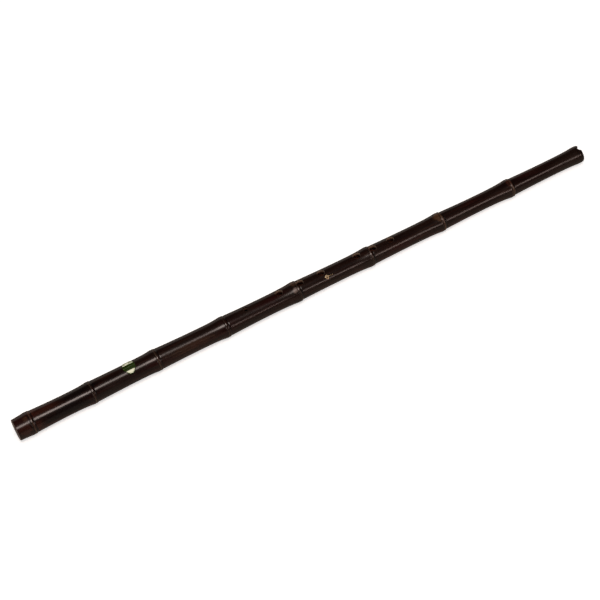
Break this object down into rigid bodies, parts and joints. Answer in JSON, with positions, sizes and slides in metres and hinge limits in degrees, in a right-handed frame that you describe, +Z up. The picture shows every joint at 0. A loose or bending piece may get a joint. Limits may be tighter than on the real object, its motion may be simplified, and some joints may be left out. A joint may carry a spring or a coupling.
{
  "type": "xiao",
  "caption": "Dark bamboo end-blown flute lying on its nodes, with finger holes in front, a thumb hole behind and a round-bottomed notch in its closed blowing end.",
  "frame": {"origin": "under the middle of the flute's length, on the surface that it lies on", "axes": "+X along the culm from the foot to the blowing end, +Z up through the finger holes"},
  "size_m": [0.796, 0.03, 0.0292],
  "materials": {
    "dark_bamboo": "polished dark purple bamboo",
    "cut_bamboo": "bare bamboo, cut and oiled",
    "label": "glossy printed paper",
    "gilt": "gold paint"
  },
  "bodies": {
    "root": {"bamboo_culm": "dark_bamboo", "node_wall": "cut_bamboo", "oval_label": "label", "gilt_lozenge": "gilt", "gilt_centre_dot": "gilt", "gilt_dot_1": "gilt", "gilt_dot_2": "gilt"}
  },
  "joints": []
}
